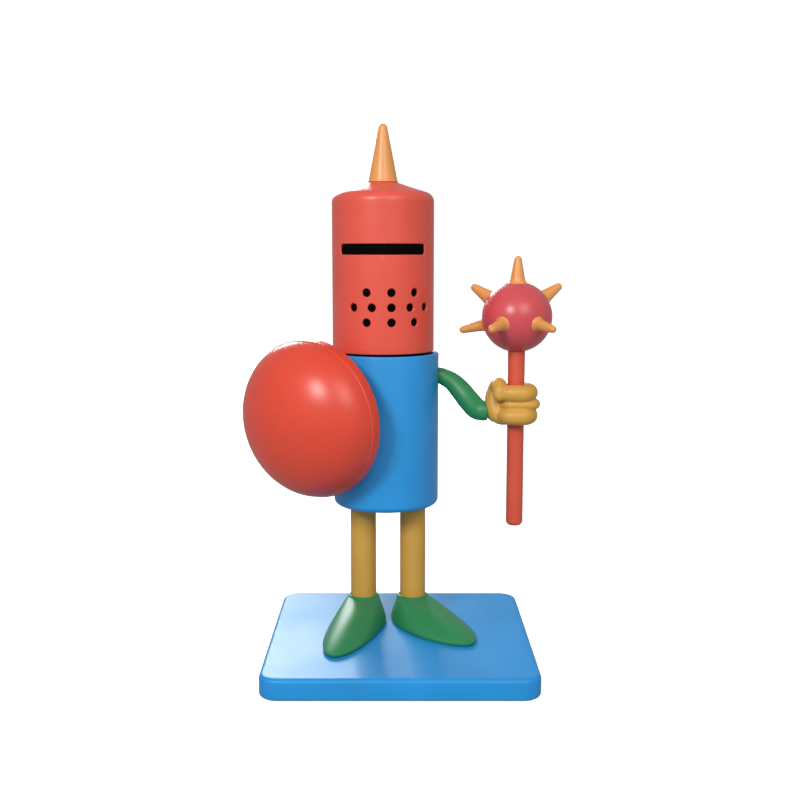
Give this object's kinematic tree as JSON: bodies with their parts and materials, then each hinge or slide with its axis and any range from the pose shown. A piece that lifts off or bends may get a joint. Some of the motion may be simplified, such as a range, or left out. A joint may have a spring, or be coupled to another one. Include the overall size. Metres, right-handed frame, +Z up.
{
  "type": "articulated toy knight figurine",
  "caption": "Glossy toy knight figurine with a cylinder helmet, a round domed shield and a spiked ball mace, standing on a square display base.",
  "frame": {"origin": "centre of the base's underside, on the surface that it stands on", "axes": "+Z up, -Y is the way the figure faces, +X is the mace hand"},
  "size_m": [0.1242, 0.1, 0.2045],
  "materials": {
    "blue_paint": "gloss",
    "coral_paint": "gloss",
    "orange_red_paint": "gloss",
    "rose_paint": "gloss",
    "ochre_paint": "satin",
    "gold_paint": "satin",
    "green_paint": "gloss",
    "black_plastic": "matt",
    "natural_plastic": "matt",
    "foam": "matt",
    "steel": "zinc plated"
  },
  "bodies": {
    "figure": {"base_shell": "blue_paint", "base_cover": "black_plastic", "base_pad": "foam", "base_cover_screw_1": "steel", "base_cover_screw_2": "steel", "base_cover_screw_3": "steel", "base_cover_screw_4": "steel", "shield_side_shoe": "green_paint", "shield_side_leg": "ochre_paint", "shield_side_ankle_screw": "steel", "shield_side_hip_washer": "steel", "shield_side_hip_screw": "steel", "mace_side_shoe": "green_paint", "mace_side_leg": "ochre_paint", "mace_side_ankle_screw": "steel", "mace_side_hip_washer": "steel", "mace_side_hip_screw": "steel", "body_shell": "blue_paint", "body_lid": "black_plastic", "hip_plate": "natural_plastic", "neck_peg": "natural_plastic", "neck_washer": "black_plastic"},
    "helmet": {"helmet_shell": "coral_paint", "helmet_plug": "black_plastic", "helmet_liner": "black_plastic", "helmet_crest": "gold_paint", "helmet_crest_nut": "steel"},
    "mace_arm": {"mace_arm": "green_paint", "mace_arm_clip": "natural_plastic"},
    "mace_hand": {"mace_fist": "ochre_paint"},
    "mace_shaft": {"mace_shaft": "orange_red_paint"},
    "mace_head": {"mace_ball": "rose_paint", "mace_spike_1": "gold_paint", "mace_spike_2": "gold_paint", "mace_spike_3": "gold_paint", "mace_spike_4": "gold_paint", "mace_spike_5": "gold_paint", "mace_spike_6": "gold_paint", "mace_spike_7": "gold_paint"},
    "shield_arm": {"shield_arm": "green_paint", "shield_arm_clip": "natural_plastic"},
    "shield_hand": {"shield_fist": "ochre_paint", "shield_handle": "black_plastic"},
    "shield": {"shield_shell": "orange_red_paint", "shield_back": "orange_red_paint", "shield_hub_washer": "natural_plastic", "shield_hub_screw": "steel"}
  },
  "joints": [
    {"name": "helmet_turn", "type": "hinge", "parent": "figure", "child": "helmet", "pos_m": [-0.0065, 0.015, 0.1175], "axis": [0, 0, 1], "continuous": true},
    {"name": "mace_shoulder", "type": "hinge", "parent": "figure", "child": "mace_arm", "pos_m": [0.0152, 0.015, 0.1076], "axis": [1, 0, 0], "continuous": true},
    {"name": "mace_wrist", "type": "hinge", "parent": "mace_arm", "child": "mace_hand", "pos_m": [0.0332, 0.0065, 0.0949], "axis": [1, 0, 0], "continuous": true},
    {"name": "mace_slide", "type": "slide", "parent": "mace_hand", "child": "mace_shaft", "axis": [0, 0, 1], "range_m": [-0.009, 0.02]},
    {"name": "mace_head_turn", "type": "hinge", "parent": "mace_shaft", "child": "mace_head", "pos_m": [0.0448, 0.0053, 0.1312], "axis": [0, 0, 1], "continuous": true},
    {"name": "shield_shoulder", "type": "hinge", "parent": "figure", "child": "shield_arm", "pos_m": [-0.0261, 0.015, 0.1076], "axis": [1, 0, 0], "range_deg": [-28, 3]},
    {"name": "shield_wrist", "type": "hinge", "parent": "shield_arm", "child": "shield_hand", "pos_m": [-0.0351, 0.0203, 0.0999], "axis": [0, 0, 1], "range_deg": [-45, 3]},
    {"name": "shield_turn", "type": "hinge", "parent": "shield_hand", "child": "shield", "pos_m": [-0.03188, 0.00002, 0.09321], "axis": [-0.5779, -0.8102, -0.0976], "continuous": true}
  ]
}
